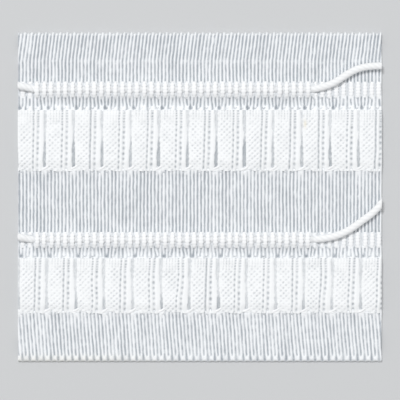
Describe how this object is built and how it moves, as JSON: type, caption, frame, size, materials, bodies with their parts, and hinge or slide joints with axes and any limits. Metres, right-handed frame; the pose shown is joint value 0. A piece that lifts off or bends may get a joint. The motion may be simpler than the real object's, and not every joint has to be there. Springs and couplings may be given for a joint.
{
  "type": "length of curtain heading tape",
  "caption": "Flat cut length of white ribbed pencil pleat heading tape with hook pockets and draw cords.",
  "frame": {"origin": "under the middle of the tape, on its flat back", "axes": "+X along the tape, +Y across it towards the upper selvedge, +Z out of its face"},
  "size_m": [0.0826, 0.075, 0.0033],
  "materials": {
    "ribbed_cloth": "white ribbed polyester weave",
    "pocket_cloth": "white plain weave",
    "cord_yarn": "white soft twisted cord"
  },
  "bodies": {
    "root": {"woven_web": "ribbed_cloth", "pocket_row_upper": "pocket_cloth", "pocket_row_lower": "pocket_cloth", "draw_cord_upper": "cord_yarn", "draw_cord_lower": "cord_yarn"}
  },
  "joints": []
}
